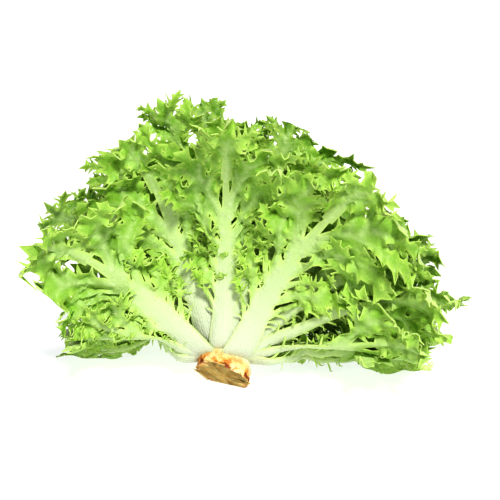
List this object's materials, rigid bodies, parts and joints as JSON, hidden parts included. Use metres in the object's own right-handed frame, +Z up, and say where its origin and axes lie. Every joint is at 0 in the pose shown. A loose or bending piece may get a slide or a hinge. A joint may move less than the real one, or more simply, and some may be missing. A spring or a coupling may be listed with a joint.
{
  "type": "curly endive head",
  "caption": "Head of curly endive with a spiral of deeply cut, frilled leaves round a pale heart and a slant-cut stem, lying back on its lower leaves.",
  "frame": {"origin": "on the surface that the head lies on, under the middle of its bounding box", "axes": "+Z up, the cut stem towards -Y and the open heart towards +Y and up, +X to the right seen from the stem"},
  "size_m": [0.3324, 0.2464, 0.2197],
  "materials": {
    "leaf_green": "satin",
    "heart_yellow": "satin",
    "stem_cream": "matte"
  },
  "bodies": {
    "root": {"leaf_01": "leaf_green", "leaf_02": "leaf_green", "leaf_03": "leaf_green", "leaf_04": "leaf_green", "leaf_05": "leaf_green", "leaf_06": "leaf_green", "leaf_07": "leaf_green", "leaf_08": "leaf_green", "leaf_09": "leaf_green", "leaf_10": "leaf_green", "leaf_11": "leaf_green", "leaf_12": "leaf_green", "leaf_13": "leaf_green", "leaf_14": "leaf_green", "leaf_15": "leaf_green", "leaf_16": "leaf_green", "leaf_17": "leaf_green", "leaf_18": "leaf_green", "leaf_19": "leaf_green", "leaf_20": "leaf_green", "leaf_21": "leaf_green", "leaf_22": "leaf_green", "leaf_23": "leaf_green", "leaf_24": "leaf_green", "leaf_25": "leaf_green", "leaf_26": "leaf_green", "leaf_27": "leaf_green", "leaf_28": "leaf_green", "leaf_29": "leaf_green", "leaf_30": "leaf_green", "stem": "stem_cream", "heart": "heart_yellow"}
  },
  "joints": []
}
